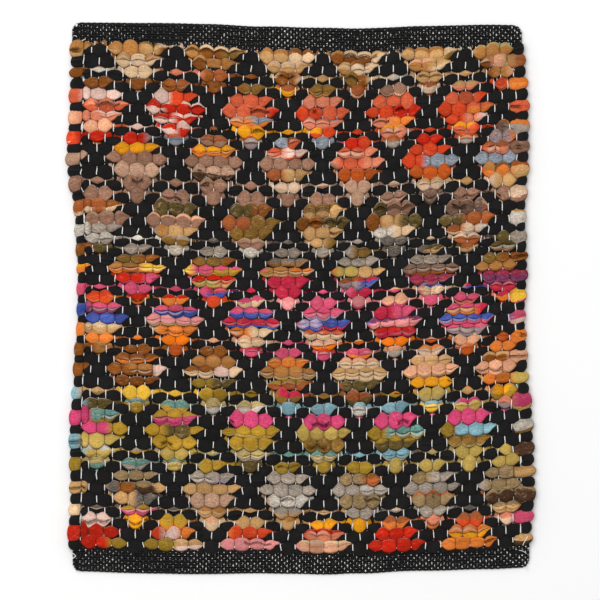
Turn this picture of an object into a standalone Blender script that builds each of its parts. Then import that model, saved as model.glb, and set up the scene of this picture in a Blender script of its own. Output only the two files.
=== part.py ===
"""Handwoven rag rug, 50 cm wide and 59 cm long, lying flat on the floor.

The rug is one piece of cloth, so it is one solid. Its field has 46 rows of rag, and each row passes a black
rag and a dyed one through the same warp: where one is on the face, the other is on the back. A tie-down warp
end presses each rag down at every second end, and the next row is pressed down at the ends between, so the
face is a brick of small pillows. The dyed pillows make the diamonds, and the black ones outline them.
At both ends the cloth goes on as a thin, tightly woven band that is turned under as a hem.

The frame: the origin is on the floor under the middle of the rug, +X runs along the rag rows, +Y along the
warp, and +Z is up. All sizes below are in millimetres.
"""

import math

import bmesh
import bpy

MM = 0.001

# Heights above the floor.
DYED_CREST = 13.0  # the top of a pillow of the thick, dyed rag
BLACK_CREST = 12.0  # the top of a pillow of black rag
PRESSED = 9.4  # the rag's top under a tie-down end
HEM_THICKNESS = 4.6  # two layers of the thin band
FIELD_WALL = 8.0  # where the outermost row starts to drop to the hem

# The warp, counted in tie-down ends from the middle of a diamond near the left side.
FIRST_END = -7
LAST_END = 52
END_ZERO_X = -174.2
ENDS_PER_DIAMOND = 10  # from one diamond to the next in its row
SETT = (  # the spacing drifts a little across the rug
    # (from end, spacing)
    (FIRST_END, 7.95),
    (20, 7.53),
    (30, 7.69),
    (LAST_END, 7.69),
)

# The rows, counted from the far end: bands of five rows, each from one line of diamonds to the next.
ROWS_PER_BAND = 5
BANDS = (
    # (row spacing below the band's line, left side x, right side x)
    (12.2, -245.7, 238.2),
    (10.9, -246.8, 242.9),
    (13.1, -250.2, 242.9),
    (10.2, -240.9, 239.2),
    (10.8, -238.3, 241.4),
    (10.5, -238.3, 238.7),
    (12.8, -242.2, 241.4),
    (12.3, -246.8, 247.2),
    (12.0, -246.2, 249.8),
    (0.0, -248.4, 246.1),
)
LAST_ROW = ROWS_PER_BAND * (len(BANDS) - 1)

# The far and near edges, which sag and rise a little from side to side.
HEM_EDGES = (
    # (x, far edge y, near edge y)
    (-240.0, 293.0, -290.8),
    (-160.0, 292.6, -293.2),
    (-100.0, 291.5, -293.8),
    (-40.0, 288.8, -293.0),
    (30.0, 287.2, -294.0),
    (60.0, 286.6, -293.0),
    (130.0, 289.2, -290.1),
    (200.0, 290.5, -288.3),
    (240.0, 290.0, -286.8),
)
ROW_SAG = (
    # (x, how far a row sags there: the first row, a row at a third, one at two thirds, the last row)
    (-225.0, 0.0, 0.5, 1.0, 1.5),
    (-170.0, 1.5, 1.0, 2.0, 1.5),
    (-120.0, 3.0, 3.0, 3.0, 1.5),
    (-70.0, 4.5, 3.5, 3.5, 2.0),
    (-20.0, 5.5, 3.0, 4.5, 3.0),
    (30.0, 4.5, 1.5, 4.5, 3.5),
    (80.0, 4.5, 0.5, 5.0, 4.0),
    (130.0, 4.0, 0.5, 4.5, 4.5),
    (180.0, 2.0, 0.0, 3.0, 4.0),
    (230.0, -1.5, -1.5, 0.5, 1.5),
)
END_SWAY = (
    # (x, how far a warp end sways to the right at the same rows)
    (-225.0, 0.5, -1.5, -2.0, -2.0),
    (-170.0, 2.0, 1.0, 0.5, -1.0),
    (-120.0, 2.5, 2.0, 1.5, -0.5),
    (-70.0, 2.5, 2.0, 2.5, 0.5),
    (-20.0, 2.0, 1.5, 2.5, 1.5),
    (30.0, 0.5, 0.5, 2.0, 2.0),
    (80.0, -0.5, 0.0, 1.5, 2.5),
    (130.0, -1.0, 0.5, 1.5, 3.0),
    (180.0, -1.0, 1.0, 1.0, 3.5),
    (230.0, -2.0, 0.5, 0.0, 1.5),
)
HEM_SIDES = (
    # (left side x, right side x): the far hem, then the near hem
    (-243.5, 235.0),
    (-243.0, 243.0),
)
FAR_HEM_TO_ROW = 29.0  # from the hem's edge to the middle of the first row
NEAR_HEM_TO_ROW = 32.0
HALF_ROW = 6.6  # from the middle of the outermost row to its foot on the hem
HEM_ROUND = 2.2  # how far the hem's rounded edge stands past its flat top and bottom
HEM_FLAT = 18.9  # how far in from the edge the hem's top stays flat
HEM_SECTION = (
    # (inset from the edge, height): the foot, the widest part, the top's outer edge and its inner one
    (HEM_ROUND, 0.0),
    (0.0, HEM_THICKNESS / 2),
    (HEM_ROUND, HEM_THICKNESS),
    (HEM_FLAT, HEM_THICKNESS),
)
FOOT_STEP = 1.2  # between the points of the foot near a corner
CORNER_RADIUS = 9.0

# The sides, where the rags turn back into the next row.
BLACK_TURN_INSET = 3.2  # a black turn is shorter than a dyed one
RIM_HEIGHT = 6.0  # the widest part of a turn
RIM_ROUND = 3.5  # how far the turn's widest part stands past its foot
TURN_CREST = 12.2
SIDE_PULL = 0.5  # the share of the side's wander that the nearest ends follow
SIDE_PULL_REACH = 5.0  # and how many ends in it fades to a third


def between(table, column, at):
    """The value of a table's column at a place in its first column, eased from one line to the next."""
    if at <= table[0][0]:
        return table[0][column]
    for low, high in zip(table, table[1:]):
        if at <= high[0]:
            share = (at - low[0]) / (high[0] - low[0])
            eased = share * share * (3 - 2 * share)
            return low[column] + (high[column] - low[column]) * eased
    return table[-1][column]


def row_share(row):
    """How far a row lies from the first row to the last, from 0 to 1."""
    spacings = [BANDS[i // ROWS_PER_BAND][0] for i in range(LAST_ROW)]
    return sum(spacings[:row]) / sum(spacings)


def crept(table, x, row):
    """How far the cloth has crept from a square weave at a place in a row."""
    share = 3 * row_share(row)
    return sum(between(table, 1 + n, x) * max(1 - abs(share - n), 0) for n in range(4))


def side_x(side, row):
    """The x of the rug's side at a row, as far out as a dyed turn reaches; side is -1 or 1."""
    column = 1 if side < 0 else 2
    by_row = [(i * ROWS_PER_BAND, *band[1:]) for i, band in enumerate(BANDS)]
    return between(by_row, column, row)


def mean_side_x(side):
    column = 1 if side < 0 else 2
    return sum(band[column] for band in BANDS) / len(BANDS)


def end_x(end, row):
    """The x of a tie-down end where it crosses a row."""
    x = END_ZERO_X + SETT[0][0] * SETT[0][1]
    for (start, spacing), (stop, _) in zip(SETT, SETT[1:]):
        x += (min(max(end, start), stop) - start) * spacing
    for side, outermost in ((-1, FIRST_END), (1, LAST_END)):
        wander = side_x(side, row) - mean_side_x(side)
        x += SIDE_PULL * wander * math.exp(-abs(end - outermost) / SIDE_PULL_REACH)
    return x + crept(END_SWAY, x, row)


def row_y(row, x):
    """The y of a row's middle, which goes from the line of the far edge to that of the near one, and sags."""
    far = between(HEM_EDGES, 1, x) - FAR_HEM_TO_ROW
    near = between(HEM_EDGES, 2, x) + NEAR_HEM_TO_ROW
    return far + (near - far) * row_share(row) - crept(ROW_SAG, x, row)


def is_dyed(row, end):
    """Whether the pillow centred on an end is dyed rag. It is black on the outline of the diamonds only."""
    half = ENDS_PER_DIAMOND // 2
    from_middle = abs(end % ENDS_PER_DIAMOND - half)
    from_line = abs(row % (2 * ROWS_PER_BAND) - ROWS_PER_BAND)
    return from_middle + from_line != half


def turn_is_dyed(side, row):
    """A dyed turn shows at every second row, and the rows take turns between the two sides."""
    return row % 2 == (0 if side < 0 else 1)


def field_height(row, end):
    if (end + row) % 2 == 0:
        return PRESSED
    return DYED_CREST if is_dyed(row, end) else BLACK_CREST


def field_course(row):
    """One row of points from side to side over the top of the field."""
    points = []
    for end in range(FIRST_END, LAST_END + 1):
        x = end_x(end, row)
        points.append((x, row_y(row, x), field_height(row, end)))
    for side in (-1, 1):
        rim_x = side_x(side, row)
        if not turn_is_dyed(side, row):
            rim_x -= side * BLACK_TURN_INSET
        inner_x = points[0 if side < 0 else -1][0]
        turn = [
            ((rim_x + inner_x) / 2, TURN_CREST),
            (rim_x, RIM_HEIGHT),
            (rim_x - side * RIM_ROUND, 0.0),
        ]
        turn = [(x, row_y(row, x), z) for x, z in turn]
        points = turn[::-1] + points if side < 0 else points + turn
    return points


def rounded_corner(x, y, side_edge, end_edge):
    """Pulls a point near a corner of the hem onto the corner's arc."""
    centre_x = side_edge - math.copysign(CORNER_RADIUS, side_edge)
    centre_y = end_edge - math.copysign(CORNER_RADIUS, end_edge)
    dx, dy = x - centre_x, y - centre_y
    if dx * side_edge <= 0 or dy * end_edge <= 0:
        return x, y
    pull = max(abs(dx), abs(dy)) / math.hypot(dx, dy)
    return centre_x + dx * pull, centre_y + dy * pull


def hem_course(hem, step):
    """One course of points along the far hem, 0, or the near one, 1, at its step in HEM_SECTION."""
    row = LAST_ROW * hem
    outwards = -1 if hem else 1
    left, right = HEM_SIDES[hem]
    inset, top = HEM_SECTION[step]
    side = []
    for side_step, (side_inset, side_top) in enumerate(HEM_SECTION[:3]):
        # The foot turns the corner, so its points there step along it instead of meeting.
        edge_inset = inset
        if step == 0:
            side_inset = HEM_ROUND + side_step * FOOT_STEP
        elif side_step == 0:
            edge_inset = max(inset, HEM_ROUND + step * FOOT_STEP)
        side.append((side_inset, edge_inset, min(top, side_top)))
    across = [(left + side_inset, edge_inset, z) for side_inset, edge_inset, z in side]
    across += [(end_x(end, row), inset, top) for end in range(FIRST_END, LAST_END + 1)]
    across += [(right - side_inset, edge_inset, z) for side_inset, edge_inset, z in side[::-1]]
    points = []
    for x, edge_inset, z in across:
        edge = between(HEM_EDGES, 1 + hem, x)
        x, y = rounded_corner(x, edge - outwards * edge_inset, left if x < 0 else right, edge)
        points.append((x, y, z))
    return points


def field_wall(hem):
    """The foot of the outermost row, where the thick field drops to the thin hem."""
    row = LAST_ROW * hem
    outwards = -1 if hem else 1
    points = []
    for x, y, z in field_course(row):
        points.append((x, y + outwards * HALF_ROW, min(z, FIELD_WALL)))
    return points


def courses():
    """The rug's top and rounded rim, course by course, from the far edge's foot to the near edge's."""
    far = [hem_course(0, step) for step in range(len(HEM_SECTION))]
    near = [hem_course(1, step) for step in range(len(HEM_SECTION))]
    field = [field_course(row) for row in range(LAST_ROW + 1)]
    return far + [field_wall(0)] + field + [field_wall(1)] + near[::-1]


def centred(grid):
    """The courses moved so that the middle of the rug's outline is at the origin."""
    xs = [p[0] for course in grid for p in course]
    ys = [p[1] for course in grid for p in course]
    mid_x = (min(xs) + max(xs)) / 2
    mid_y = (min(ys) + max(ys)) / 2
    return [[((x - mid_x) * MM, (y - mid_y) * MM, z * MM) for x, y, z in course] for course in grid]


def woven_cloth_material():
    material = bpy.data.materials.new("woven_rag")
    material.use_nodes = True
    shader = material.node_tree.nodes["Principled BSDF"]
    shader.inputs["Base Color"].default_value = (0.26, 0.14, 0.08, 1.0)
    shader.inputs["Roughness"].default_value = 0.95
    shader.inputs["Metallic"].default_value = 0.0
    return material


def build_rug():
    grid = centred(courses())
    shape = bmesh.new()
    rows = [[shape.verts.new(p) for p in course] for course in grid]
    for upper, lower in zip(rows, rows[1:]):
        for i in range(len(upper) - 1):
            corners = (upper[i], lower[i], lower[i + 1], upper[i + 1])
            # The fold of each quad runs between its two lower corners, which leaves every pillow a crest.
            low_diagonal = corners[0].co.z + corners[2].co.z < corners[1].co.z + corners[3].co.z
            first = 0 if low_diagonal else 1
            a, b, c, d = (corners[(first + n) % 4] for n in range(4))
            shape.faces.new((a, b, c))
            shape.faces.new((a, c, d))
    outline = rows[0] + [r[-1] for r in rows[1:-1]] + rows[-1][::-1] + [r[0] for r in rows[-2:0:-1]]
    shape.faces.new(outline)
    bmesh.ops.recalc_face_normals(shape, faces=shape.faces)
    mesh = bpy.data.meshes.new("rug")
    shape.to_mesh(mesh)
    shape.free()
    mesh.materials.append(woven_cloth_material())
    rug = bpy.data.objects.new("rug", mesh)
    bpy.context.scene.collection.objects.link(rug)
    return rug


def main():
    for old in list(bpy.data.objects):
        bpy.data.objects.remove(old)
    build_rug()


main()
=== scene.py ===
import math

import bpy
import numpy as np
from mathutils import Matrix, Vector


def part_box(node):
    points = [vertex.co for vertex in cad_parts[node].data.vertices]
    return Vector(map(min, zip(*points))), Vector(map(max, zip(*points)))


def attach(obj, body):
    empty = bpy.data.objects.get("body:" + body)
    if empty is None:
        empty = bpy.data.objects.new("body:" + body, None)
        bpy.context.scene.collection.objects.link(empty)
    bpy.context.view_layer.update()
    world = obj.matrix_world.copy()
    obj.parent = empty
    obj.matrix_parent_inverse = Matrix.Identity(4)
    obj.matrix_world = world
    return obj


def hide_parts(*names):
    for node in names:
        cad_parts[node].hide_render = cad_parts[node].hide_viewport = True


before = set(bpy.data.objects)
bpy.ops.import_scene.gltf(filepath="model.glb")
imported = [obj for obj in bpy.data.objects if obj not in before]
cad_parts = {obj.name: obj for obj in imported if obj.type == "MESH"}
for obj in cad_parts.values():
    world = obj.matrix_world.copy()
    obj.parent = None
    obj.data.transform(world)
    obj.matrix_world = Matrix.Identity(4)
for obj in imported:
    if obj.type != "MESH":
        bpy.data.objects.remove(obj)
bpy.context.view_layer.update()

mm = 0.001
rugHigh = np.array(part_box("rug")[1]) / mm

# How the cloth lies, in millimetres from the rug's middle. Ends are the tie-down threads of the warp,
# and a row is one pass of a dyed rag and a black rag.
cloth = {
    "firstEnd": -7,
    "lastEnd": 52,
    "endZeroX": -174.0,
    "sett": [(-7, 7.95), (20, 7.53), (30, 7.69), (52, 7.69)],  # from end, spacing
    "endsPerDiamond": 10,
    "rowsPerBand": 5,
    "bands": [  # row spacing, left side x, right side x
        (12.2, -245.5, 238.4),
        (10.9, -246.6, 243.1),
        (13.1, -250.0, 243.1),
        (10.2, -240.7, 239.4),
        (10.8, -238.1, 241.6),
        (10.5, -238.1, 238.9),
        (12.8, -242.0, 241.6),
        (12.3, -246.6, 247.4),
        (12.0, -246.0, 250.0),
        (0.0, -248.2, 246.3),
    ],
    "hemEdges": [  # x, far edge y, near edge y
        (-240.0, 293.4, -290.4),
        (-160.0, 293.0, -292.8),
        (-100.0, 291.9, -293.4),
        (-40.0, 289.2, -292.6),
        (30.0, 287.6, -293.6),
        (60.0, 287.0, -292.6),
        (130.0, 289.6, -289.7),
        (200.0, 290.9, -287.9),
        (240.0, 290.4, -286.4),
    ],
    "farHemToRow": 29.0,
    "nearHemToRow": 32.0,
    "sidePull": 0.5,
    "sidePullReach": 5.0,
    "rowWobble": 0.5,
    "rowWobbleStep": 60,
    "rowSag": [  # x, then how far a row sags there: the first row, at a third, at two thirds, the last row
        (-225.0, 0.0, 0.5, 1.0, 1.5),
        (-170.0, 1.5, 1.0, 2.0, 1.5),
        (-120.0, 3.0, 3.0, 3.0, 1.5),
        (-70.0, 4.5, 3.5, 3.5, 2.0),
        (-20.0, 5.5, 3.0, 4.5, 3.0),
        (30.0, 4.5, 1.5, 4.5, 3.5),
        (80.0, 4.5, 0.5, 5.0, 4.0),
        (130.0, 4.0, 0.5, 4.5, 4.5),
        (180.0, 2.0, 0.0, 3.0, 4.0),
        (230.0, -1.5, -1.5, 0.5, 1.5),
    ],
    "endSway": [  # x, then how far an end sways to the right at the same rows
        (-225.0, 0.5, -1.5, -2.0, -2.0),
        (-170.0, 2.0, 1.0, 0.5, -1.0),
        (-120.0, 2.5, 2.0, 1.5, -0.5),
        (-70.0, 2.5, 2.0, 2.5, 0.5),
        (-20.0, 2.0, 1.5, 2.5, 1.5),
        (30.0, 0.5, 0.5, 2.0, 2.0),
        (80.0, -0.5, 0.0, 1.5, 2.5),
        (130.0, -1.0, 0.5, 1.5, 3.0),
        (180.0, -1.0, 1.0, 1.0, 3.5),
        (230.0, -2.0, 0.5, 0.0, 1.5),
    ],
}
firstEnd, lastEnd = cloth["firstEnd"], cloth["lastEnd"]
lastRow = cloth["rowsPerBand"] * (len(cloth["bands"]) - 1)
middleZ = rugHigh[2] / 2


def eased(table, column, at):
    # a table's column at places in its first column, eased from line to line
    starts = np.array([line[0] for line in table], float)
    values = np.array([line[column] for line in table], float)
    spot = np.interp(at, starts, np.arange(len(starts)))
    low = np.minimum(spot.astype(int), len(starts) - 2)
    share = spot - low
    share = share * share * (3 - 2 * share)
    return values[low] + (values[low + 1] - values[low]) * share


def smooth(low, high, at):
    share = np.clip((at - low) / (high - low), 0, 1)
    return share * share * (3 - 2 * share)


def slowNoise(places, step, seed):
    # a smooth random line, about -1 to 1, with a new value at every step
    places = np.asarray(places, float) / step
    low = np.floor(places).astype(int)
    values = np.random.default_rng(seed).uniform(-1, 1, 4096)
    share = places - low
    share = share * share * (3 - 2 * share)
    return values[low % 4096] * (1 - share) + values[(low + 1) % 4096] * share


spacings = [cloth["bands"][row // cloth["rowsPerBand"]][0] for row in range(lastRow)]
rowShares = np.concatenate(([0.0], np.cumsum(spacings))) / sum(spacings)
sideTable = [(i * cloth["rowsPerBand"], *band[1:]) for i, band in enumerate(cloth["bands"])]


def crept(table, x, row):
    # how far the cloth has crept from a square weave at a place
    share = 3 * np.interp(row, np.arange(lastRow + 1), rowShares)
    columns = [eased(table, 1 + n, x) for n in range(4)]
    return sum(column * np.clip(1 - abs(share - n), 0, 1) for n, column in enumerate(columns))


def sideX(side, row):
    return eased(sideTable, 1 if side < 0 else 2, row)


def endX(end, row):
    end = np.asarray(end, float)
    x = cloth["endZeroX"] + cloth["sett"][0][0] * cloth["sett"][0][1]
    for (start, spacing), (stop, _) in zip(cloth["sett"], cloth["sett"][1:]):
        x = x + (np.clip(end, start, stop) - start) * spacing
    for side, outermost in ((-1, firstEnd), (1, lastEnd)):
        mean = np.mean([line[1 if side < 0 else 2] for line in sideTable])
        pull = np.exp(-np.abs(end - outermost) / cloth["sidePullReach"])
        x = x + cloth["sidePull"] * (sideX(side, row) - mean) * pull
    return x + crept(cloth["endSway"], x, row)


def rowY(row, x):
    far = eased(cloth["hemEdges"], 1, x) - cloth["farHemToRow"]
    near = eased(cloth["hemEdges"], 2, x) + cloth["nearHemToRow"]
    wobble = cloth["rowWobble"] * slowNoise(x + 500, cloth["rowWobbleStep"], 100 + int(row))
    square = far + (near - far) * np.interp(row, np.arange(lastRow + 1), rowShares)
    return square - crept(cloth["rowSag"], x, row) + wobble


def isDyed(row, end):
    # black rag shows only on the outline of the diamonds
    half = cloth["endsPerDiamond"] // 2
    fromMiddle = abs(end % cloth["endsPerDiamond"] - half)
    fromLine = abs(row % (2 * cloth["rowsPerBand"]) - cloth["rowsPerBand"])
    return fromMiddle + fromLine != half


# The dye bath, in sRGB from 0 to 255.
dyes = {
    "white": (232, 224, 210),
    "cream": (228, 192, 150),
    "beige": (214, 180, 150),
    "tan": (198, 152, 98),
    "caramel": (178, 120, 62),
    "brown": (138, 78, 28),
    "umber": (74, 50, 34),
    "oliveBrown": (134, 98, 42),
    "rust": (168, 90, 46),
    "darkOlive": (94, 78, 40),
    "khaki": (192, 162, 82),
    "sage": (184, 160, 104),
    "gold": (184, 142, 44),
    "oliveGold": (154, 122, 38),
    "yellow": (238, 188, 62),
    "golden": (240, 160, 26),
    "orange": (226, 124, 50),
    "peach": (230, 166, 128),
    "salmon": (224, 132, 100),
    "coral": (212, 94, 60),
    "redOrange": (210, 68, 32),
    "red": (198, 38, 18),
    "crimson": (200, 42, 70),
    "pink": (220, 84, 116),
    "magenta": (210, 70, 114),
    "palePink": (230, 192, 176),
    "lavender": (176, 158, 188),
    "mauve": (152, 130, 130),
    "blueGrey": (138, 146, 156),
    "blue": (70, 88, 168),
    "lightBlue": (134, 178, 188),
    "teal": (104, 146, 134),
    "taupe": (156, 114, 92),
    "lightTaupe": (184, 144, 118),
    "greyWhite": (200, 190, 176),
    "grey": (164, 150, 136),
    "darkGrey": (104, 96, 88),
    "smoke": (140, 126, 112),
    "drab": (150, 124, 86),
    "darkTaupe": (126, 94, 78),
    "burntOrange": (192, 86, 30),
    "tangerine": (238, 118, 14),
    "rose": (232, 144, 142),
    "plum": (132, 62, 98),
    "wine": (156, 50, 74),
}

# The dyed rag of each row from left to right: a dye, or the dyes of its upper and lower edge, and the end
# where the stretch starts. A plus marks a thick stretch of rag and a minus a thin one.
ragPlan = [
    "caramel/tan caramel@-3 oliveBrown/tan@0 beige/brown@3 caramel@6 cream/brown@8 cream/oliveBrown@11"
    " caramel/tan@14 caramel/tan@17 brown/cream@20 caramel/brown@24 cream/brown@28 tan/cream@32"
    " caramel/tan@36 cream/oliveBrown@42 sage/caramel@46 sage/caramel@52",
    "brown tan/cream@-3 cream/beige@-1 caramel/beige@1 tan/brown@6 caramel@9 oliveBrown/caramel@12"
    " beige/tan@17 peach/tan@21 tan/caramel@26 brown/cream@29 cream@31 peach/caramel@37 tan/cream@40"
    " cream/tan@44 caramel/brown@46 peach@49 tan@51 rust+@52",
    "brown taupe/greyWhite@-6 cream+@-3 salmon+@3 brown+@8 rust@10 brown@13 cream/brown@17 brown+@19"
    " salmon/cream@21 tan+@23 oliveBrown+@27 brown+@30 cream@32 sage/greyWhite+@34 tan@38 tan@44 brown@47"
    " caramel@49 peach@51",
    "brown rust/brown@4 brown@8 oliveBrown@14 rust/golden@18 oliveBrown/caramel@23 rust/peach@28"
    " taupe/peach@33 rust/beige@38 tan/salmon@43 redOrange/coral@47 orange@51",
    "coral+ palePink@-7 palePink@2 redOrange@4 coral@12 salmon@22 coral@29 redOrange@46 orange@51",
    "coral salmon/coral@-6 red/palePink@0 palePink/red@4 coral@11 coral/red@17 redOrange@21 coral@25"
    " redOrange@31 red@35 redOrange@41 coral/orange@45 coral@51",
    "peach+ salmon@-7 palePink/salmon@-5 red/palePink@1 palePink/red@5 lightTaupe/orange@11"
    " blueGrey/orange@15 mauve/salmon@19 salmon@31 orange@35 redOrange@41 salmon@45 palePink@47 orange@51",
    "peach+ coral@-3 palePink@-1 red/palePink@2 palePink+/red@5 brown-@8 golden+@11 golden@17"
    " golden/redOrange@21 redOrange@25 golden/salmon@33 salmon@36 redOrange@38 golden/coral@43"
    " redOrange@46 rust/darkTaupe@49 orange/grey@51",
    "redOrange red@-7 mauve@1 coral/blueGrey@3 rust/taupe@8 redOrange/mauve@14 blueGrey@17 brown/coral@20"
    " blueGrey@23 red@28 redOrange@30 rust/grey@33 red@38 burntOrange/grey@43 mauve@48 orange@51",
    "orange golden/orange@-3 orange@3 golden/orange@8 coral/palePink@17 palePink/coral@20 coral/salmon@27"
    " salmon@31 redOrange@37 rust/salmon@47 taupe+@51",
    "lightTaupe+ taupe@-6 taupe@13 salmon/taupe@24 coral@27 salmon@31 redOrange@36 blueGrey@39",
    "lightTaupe lightTaupe/umber@7 rust@17 tan@20 burntOrange@27 burntOrange@36 caramel/orange@47"
    " brown/orange@49 rust/tan@51",
    "taupe+ beige@17 lightTaupe@22 beige/taupe@24 lightTaupe@27 beige/taupe@34 tan/beige@38 tan@43"
    " beige@47 tan@49",
    "taupe taupe+@-7 taupe@0 taupe@23 lightTaupe@28 taupe/umber@32 darkTaupe/umber@38 taupe@43"
    " beige/taupe+@51",
    "rust/cream rust@-6 brown/cream@-4 darkOlive@2 brown@15 oliveBrown/tan@22 darkOlive@32 taupe@34"
    " darkTaupe@42 cream/rust@48",
    "rust taupe@-7 peach/taupe@1 rust@11 oliveBrown@15 brown@21 darkOlive@25 brown@31 tan@33 darkOlive@36"
    " rust@45 tan/greyWhite@51",
    "greyWhite grey@-6 caramel@2 tan@4 oliveBrown@12 tan@22 greyWhite@32 cream@35 rust/cream@42"
    " beige/grey@44 greyWhite@47",
    "greyWhite greyWhite/grey@-6 white@-1 grey/oliveBrown@3 darkGrey@8 tan/taupe@12 darkGrey@18 tan@23"
    " oliveBrown@25 grey@28 darkGrey@33 cream/darkGrey@38 beige/rust@43 darkOlive@48 grey@51",
    "brown darkOlive@-6 smoke@-3 grey@3 smoke/grey@8 greyWhite/grey@13 smoke@18 grey/oliveBrown@24"
    " oliveBrown@29 darkGrey@34 darkOlive/tan@39 rust/tan@44 darkOlive/caramel@48",
    "brown oliveBrown@-3 brown@0 oliveBrown@8 brown@11 smoke/caramel@17 grey@27 smoke/grey@37"
    " oliveBrown@47 brown@50",
    "golden/orange caramel/orange@-4 yellow/orange@0 pink/khaki@7 pink/gold@10 caramel/tan@17"
    " orange/caramel@20 khaki@27 tan@30 darkTaupe/brown@36 caramel/rust@46",
    "red/pink pink@1 red/khaki@7 red/tan@10 crimson@17 rust/mauve@27 crimson/blue@30 wine/plum@37"
    " wine/plum@47",
    "pink crimson/blue@9 crimson@14 pink@24 crimson@29 peach/pink@34 blue/cream@39 crimson/blue@44"
    " plum/crimson@48",
    "redOrange/orange red/orange@-3 redOrange/orange@8 pink/cream@13 rose@18 pink@23 rose/pink@28"
    " peach/pink@33 pink/salmon@38 crimson/orange@48 yellow/pink@51",
    "blue pink/plum@-7 pink/blue@2 pink/lavender@22 pink@28 crimson@32 pink@35 pink/orange@42 crimson@47",
    "blue rose/tan@1 crimson/blue@11 lavender/blue@21 blue/crimson@25 plum/rose@31 blue/pink@41"
    " pink/palePink@51",
    "orange cream/tan@-7 orange@2 orange/coral@12 cream@15 coral/cream@22 red/crimson@32 pink/mauve@42"
    " crimson@48",
    "orange tangerine@2 peach@8 peach/cream@13 pink@18 peach/tangerine@22 tan/burntOrange@28 tangerine@32"
    " tan/burntOrange@38 cream/peach@43 umber/burntOrange@48 orange@51",
    "brown tan/caramel@-6 brown@-3 burntOrange@4 brown@6 crimson/pink@13 pink@18 redOrange/pink@24"
    " pink/orange@28 peach/grey@33 orange/beige@38 orange/burntOrange@43 orange@48",
    "brown brown/orange@-3 caramel@7 caramel/orange@17 peach/cream@27 peach/tan@37 tan/brown@47 peach@51",
    "brown caramel/brown@-1 palePink@2 brown/cream@6 palePink@10 cream@12 caramel/tan@16 tan/cream@26"
    " peach/tan@36 peach@46",
    "brown oliveGold@7 darkOlive@10 oliveGold/rust@17 darkOlive@27 golden@37 orange@47 khaki@51",
    "lightBlue tan/drab@-7 yellow@-2 gold/oliveGold@8 oliveGold@13 crimson/oliveBrown@18 oliveBrown@23"
    " rust/darkOlive@28 orange/oliveGold@33 khaki/sage@38 orange/tan@43 golden/gold@48 gold@51",
    "lightBlue darkOlive@-7 teal/oliveGold@-2 teal/gold@3 sage/greyWhite@8 lightBlue@18"
    " lightBlue/greyWhite@28 lightBlue@33 lightBlue/yellow@38 magenta/khaki@43 salmon/mauve@48"
    " magenta+/khaki@51",
    "magenta+ teal/oliveGold@-6 gold/magenta@2 magenta+@12",
    "magenta gold@-4 darkOlive@4 gold@7 gold/khaki@11 khaki@21 oliveGold@31 teal/gold@34 oliveGold@41"
    " lightBlue@43 greyWhite/oliveBrown+@51",
    "lightBlue khaki/sage@-7 gold@-1 gold/khaki@12 oliveBrown@22 oliveGold/darkOlive@32"
    " oliveBrown/sage@42",
    "lightBlue greyWhite/khaki@-6 grey/gold@-1 khaki@3 sage/teal@8 sage/grey@12 teal@18 teal/sage@23"
    " lightBlue@28 lightBlue/greyWhite@33 sage/beige+@38 khaki@43 umber@51",
    "oliveGold sage/teal@-7 teal/grey@-2 teal/khaki@3 gold@8 darkOlive@13 oliveGold@18 khaki+@32"
    " khaki+@43 khaki@48",
    "lightBlue drab@-3 grey@3 grey/lavender@7 grey@17 drab@27 brown/rust@31 drab@37 grey@40 drab@47"
    " tan+@51",
    "tan darkGrey@-4 brown@-2 drab/umber@0 tan@3 grey@16 greyWhite/grey@30 grey@36 drab@47",
    "tan darkGrey@0 drab/lightTaupe@7 greyWhite@17 drab@27 rust/drab@37 drab/umber@47",
    "cream- darkGrey/beige@-7 gold/pink@-2 darkGrey/gold@3 caramel/tan@8 tan@13 grey/tan@18 tan/grey@23"
    " grey@28 beige/grey@33 grey@38 darkGrey@43 drab/tan@48",
    "palePink golden@-2 gold/orange@3 peach/cream@8 tan@13 caramel/tan@17 golden/orange@23 golden@28"
    " rust/orange@33 salmon/orange@38 rust/redOrange@43 salmon/beige@48 pink@51",
    "red+ redOrange@2 palePink@4 orange@6 redOrange@12 red/salmon@22 red@32 orange/golden@42",
    "red oliveGold@-3 tan/palePink@5 rose@11 cream/peach@21 red@31 orange@41 tan/umber-@51",
]


def linearColour(name):
    channels = np.array(dyes[name]) / 255
    return np.where(channels <= 0.04045, channels / 12.92, ((channels + 0.055) / 1.055) ** 2.4)


def readStretches(row):
    # the row's stretches of dye as starts, upper colours, lower colours and thicknesses
    starts, uppers, lowers, girths = [], [], [], []
    for word in ragPlan[row].split():
        names, _, start = word.partition("@")
        girths.append(1.0 + lay["thicker"] * (names.count("+") - names.count("-")))
        upper, _, lower = names.replace("+", "").replace("-", "").partition("/")
        starts.append(float(start) if start else -99.0)
        uppers.append(linearColour(upper))
        lowers.append(linearColour(lower or upper))
    return np.array(starts), np.array(uppers), np.array(lowers), np.array(girths)


def blurred(values, reach):
    # a running mean along the strip
    if reach < 1:
        return values
    padded = np.pad(values, [(reach, reach)] + [(0, 0)] * (values.ndim - 1), mode="edge")
    sums = sum(padded[i : i + len(values)] for i in range(2 * reach + 1))
    return sums / (2 * reach + 1)


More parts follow.
